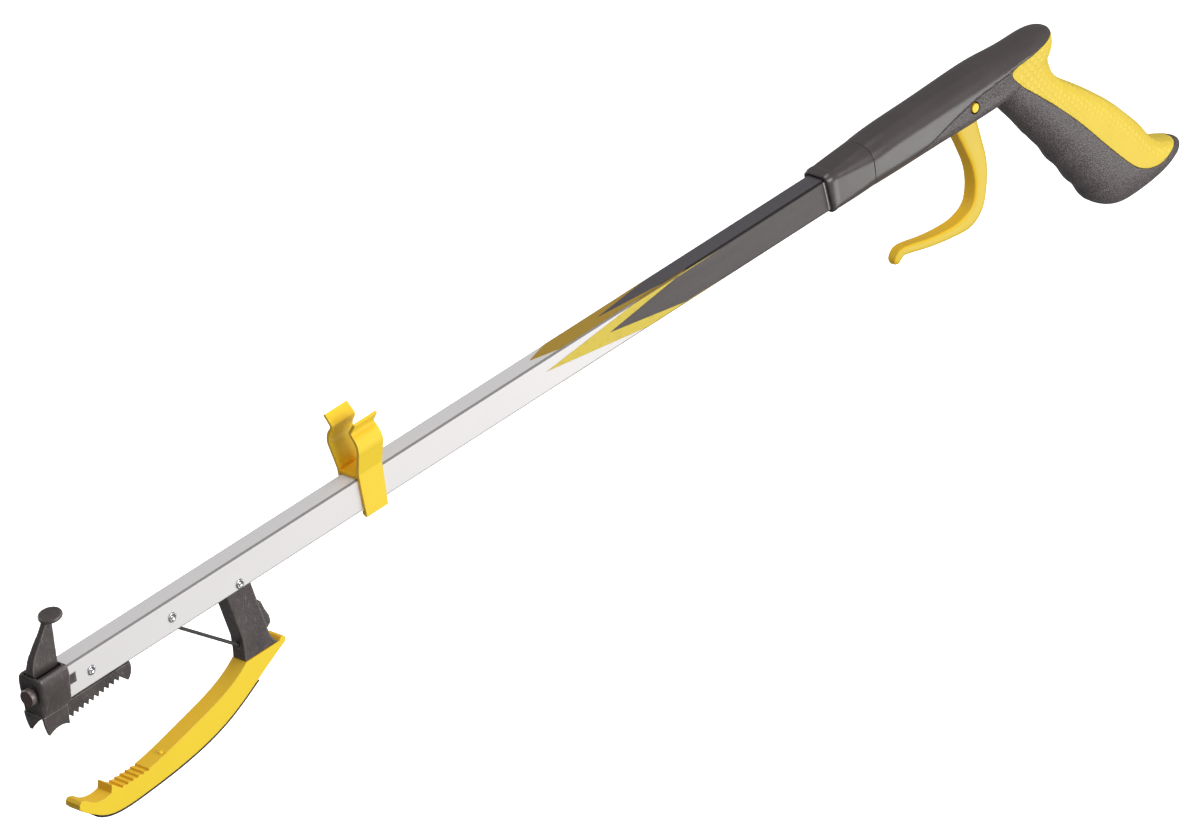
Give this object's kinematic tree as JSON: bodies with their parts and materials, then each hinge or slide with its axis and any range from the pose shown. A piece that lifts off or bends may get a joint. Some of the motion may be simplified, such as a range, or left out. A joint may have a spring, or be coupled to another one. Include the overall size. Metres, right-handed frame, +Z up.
{
  "type": "reacher grabber",
  "caption": "Long-shaft hand-held reacher: rectangular tube, pistol grip with finger trigger, cord-driven toothed jaw, nose magnet, dressing peg and sliding stick clip.",
  "frame": {"origin": "centre of the hand grip, in the plane of symmetry", "axes": "+X along the shaft towards the back of the handle, +Z up with the jaw opening downwards, +Y across the tool"},
  "size_m": [0.9056, 0.0288, 0.1636],
  "materials": {
    "aluminium_tube": "satin anodised",
    "yellow_film": "printed film",
    "dark_film": "printed film, satin",
    "black_moulding": "moulded, slightly worn",
    "satin_black": "smooth satin",
    "grained_black": "fine moulded grain",
    "yellow_moulding": "moulded, semi-gloss",
    "yellow_rubber": "soft, dimpled",
    "black_rubber": "matt",
    "magnet": "sintered magnet, lacquered",
    "rivet_steel": "plated steel",
    "spring_steel": "drawn wire",
    "white_nylon": "moulded nylon",
    "cord": "braided cord"
  },
  "bodies": {
    "frame": {"shaft_tube": "aluminium_tube", "label_flash": "yellow_film", "label_field": "dark_film", "nose_cap": "black_moulding", "dressing_peg": "black_moulding", "nose_insert": "black_moulding", "upper_jaw": "black_moulding", "nose_magnet": "magnet", "nose_rivet": "rivet_steel", "roller_rivet": "rivet_steel", "jaw_rivet": "rivet_steel", "jaw_bush": "rivet_steel", "front_collar": "satin_black", "barrel_cover": "satin_black", "grip_shell_near": "grained_black", "grip_shell_far": "grained_black", "grip_pad": "yellow_rubber", "handle_screws": "rivet_steel", "tube_pin": "rivet_steel", "trigger_pin": "yellow_moulding", "cord_rear_crimp": "rivet_steel"},
    "trigger": {"trigger": "yellow_moulding", "trigger_cord_pin": "rivet_steel", "cord_tail": "cord"},
    "jaw": {"jaw_arm": "black_moulding", "jaw_finger": "yellow_moulding", "jaw_back_strip": "black_rubber", "cord_front_crimp": "rivet_steel", "cord_front": "cord", "jaw_spring": "spring_steel"},
    "cord": {"cord_run": "cord"},
    "roller": {"cord_roller": "white_nylon"},
    "clip": {"stick_clip": "yellow_moulding"}
  },
  "joints": [
    {"name": "trigger_pivot", "type": "hinge", "parent": "frame", "child": "trigger", "pos_m": [-0.087, 0, 0.0555], "axis": [0, -1, 0], "range_deg": [0, 36], "deforming": ["cord_tail"]},
    {"name": "jaw_pivot", "type": "hinge", "parent": "frame", "child": "jaw", "pos_m": [-0.671, 0, 0.049], "axis": [0, 1, 0], "range_deg": [0, 24], "stiffness_Nm_per_rad": 0.12, "springref_deg": -28.65, "deforming": ["cord_front", "jaw_spring"]},
    {"name": "cord_slide", "type": "slide", "parent": "frame", "child": "cord", "axis": [1, 0, 0], "range_m": [0, 0.0131]},
    {"name": "roller_spin", "type": "hinge", "parent": "frame", "child": "roller", "pos_m": [-0.7215, 0, 0.0545], "axis": [0, 1, 0], "range_deg": [0, 166]},
    {"name": "clip_slide", "type": "slide", "parent": "frame", "child": "clip", "axis": [1, 0, 0], "range_m": [-0.08, 0.12]}
  ],
  "couplings": [
    {"joint": "jaw_pivot", "follows": "trigger_pivot", "ratio": 0.6666},
    {"joint": "cord_slide", "follows": "trigger_pivot", "m_per_rad": 0.0208},
    {"joint": "roller_spin", "follows": "trigger_pivot", "ratio": 4.6}
  ]
}
